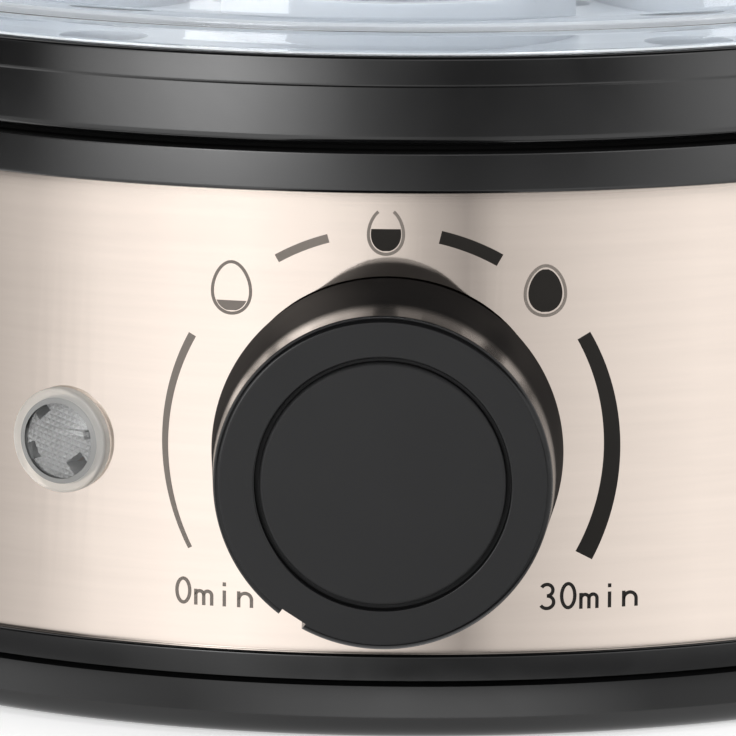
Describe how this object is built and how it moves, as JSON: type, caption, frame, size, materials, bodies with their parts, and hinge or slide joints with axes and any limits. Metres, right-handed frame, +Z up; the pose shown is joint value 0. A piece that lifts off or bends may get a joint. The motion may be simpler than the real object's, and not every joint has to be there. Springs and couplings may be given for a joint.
{
  "type": "electric egg cooker",
  "caption": "Round electric egg cooker with a champagne steel band, black rings, a wind-up timer knob, a glow lamp, a clear lift-off lid and an egg rack over a heated dish.",
  "frame": {"origin": "on the table, on the body's axis, in the plane of the rim that the base stands on", "axes": "+Z up, the timer knob at the front on -Y, the cord gland at the rear on +Y"},
  "size_m": [0.1728, 0.1956, 0.1753],
  "materials": {
    "black_shell": "black moulded plastic with a soft gloss",
    "knob_black": "black moulded plastic, glossy sides",
    "knob_face": "black plastic, satin face",
    "champagne_steel": "champagne steel, brushed round the body",
    "clear_plastic": "clear polycarbonate",
    "milky_plastic": "translucent moulded plastic",
    "foot_rubber": "black rubber",
    "silicone": "pale silicone",
    "dish_steel": "spun stainless steel",
    "plated_steel": "zinc plated steel",
    "plate_aluminium": "cast aluminium",
    "element_steel": "dull sheathed element",
    "brass_parts": "plain brass",
    "black_nylon": "black nylon",
    "brown_phenolic": "brown phenolic",
    "cream_plastic": "cream heat-proof plastic",
    "fuse_body": "glass-fibre sleeve",
    "lamp_insert": "grey ribbed reflector",
    "bulb_glass": "glow bulb",
    "live_insulation": "brown insulation",
    "neutral_insulation": "blue insulation",
    "earth_insulation": "green and yellow insulation",
    "sleeve_insulation": "heat-proof sleeve"
  },
  "bodies": {
    "base": {"base_shell": "black_shell", "rubber_feet": "foot_rubber", "case_screws": "plated_steel", "steel_band": "champagne_steel", "trim_ring": "black_shell", "boiler_ring": "black_shell", "dish_seal": "silicone", "boiler_dish": "dish_steel", "dish_clips": "plated_steel", "clip_screws": "plated_steel", "heat_spreader": "plate_aluminium", "heating_element": "element_steel", "thermostat": "brown_phenolic", "thermal_fuse": "fuse_body", "fuse_clip": "plated_steel", "timer_saddle": "black_nylon", "timer_plate": "plated_steel", "timer_case": "cream_plastic", "timer_screws": "plated_steel", "mainspring_barrel": "plated_steel", "contact_block": "brown_phenolic", "contact_leaves": "brass_parts", "timer_blades": "brass_parts", "timer_bell": "plated_steel", "bell_rivet": "plated_steel", "lamp_lens": "clear_plastic", "lamp_reflector": "lamp_insert", "lamp_bulb": "bulb_glass", "lamp_clip": "plated_steel", "cord_gland": "black_nylon", "gland_nut": "black_nylon", "terminal_block": "cream_plastic", "terminal_screws": "brass_parts", "live_lead": "live_insulation", "switched_lead": "live_insulation", "fuse_leads": "sleeve_insulation", "neutral_lead": "neutral_insulation", "earth_lead": "earth_insulation", "lamp_leads": "sleeve_insulation"},
    "knob": {"timer_knob": "knob_black", "knob_cap": "knob_face", "timer_shaft": "plated_steel", "main_wheel": "brass_parts", "switch_cam": "cream_plastic"},
    "escapement": {"escape_arbor": "brass_parts"},
    "lid": {"lid": "clear_plastic", "lid_knob": "knob_black", "lid_washer": "silicone", "lid_screw": "plated_steel"},
    "rack": {"egg_rack": "milky_plastic"}
  },
  "joints": [
    {"name": "knob_turn", "type": "hinge", "parent": "base", "child": "knob", "pos_m": [0, -0.095, 0.0336], "axis": [0, 1, 0], "range_deg": [0, 294]},
    {"name": "escapement_turn", "type": "hinge", "parent": "base", "child": "escapement", "pos_m": [0.00891, -0.067, 0.04251], "axis": [0, 1, 0], "range_deg": [-900, 60]},
    {"name": "lid_lift", "type": "slide", "parent": "base", "child": "lid", "axis": [0, 0, 1], "range_m": [0, 0.2]},
    {"name": "rack_lift", "type": "slide", "parent": "base", "child": "rack", "axis": [0, 0, 1], "range_m": [0, 0.09]}
  ],
  "couplings": [
    {"joint": "escapement_turn", "follows": "knob_turn", "ratio": -2.5},
    {"joint": "rack_lift", "follows": "lid_lift", "ratio": 0.45}
  ]
}
